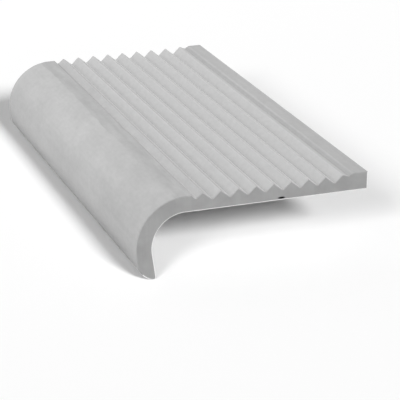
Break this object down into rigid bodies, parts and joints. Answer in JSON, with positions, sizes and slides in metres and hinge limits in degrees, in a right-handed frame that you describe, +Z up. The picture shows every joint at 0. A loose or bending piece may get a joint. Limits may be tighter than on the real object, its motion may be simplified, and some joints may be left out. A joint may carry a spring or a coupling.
{
  "type": "stair nosing profile",
  "caption": "Extruded aluminium stair nose: ribbed flange for the tread, round nose over its edge and a short down-turned lip.",
  "frame": {"origin": "middle of the flat underside that lies on the tread", "axes": "+X along the bar, -Y towards the front where the nose and lip are, +Z up from the tread"},
  "size_m": [0.12, 0.0599, 0.0209],
  "materials": {
    "mill_aluminium": "satin mill finish as extruded, with saw-cut ends"
  },
  "bodies": {
    "root": {"stair_nose": "mill_aluminium"}
  },
  "joints": []
}
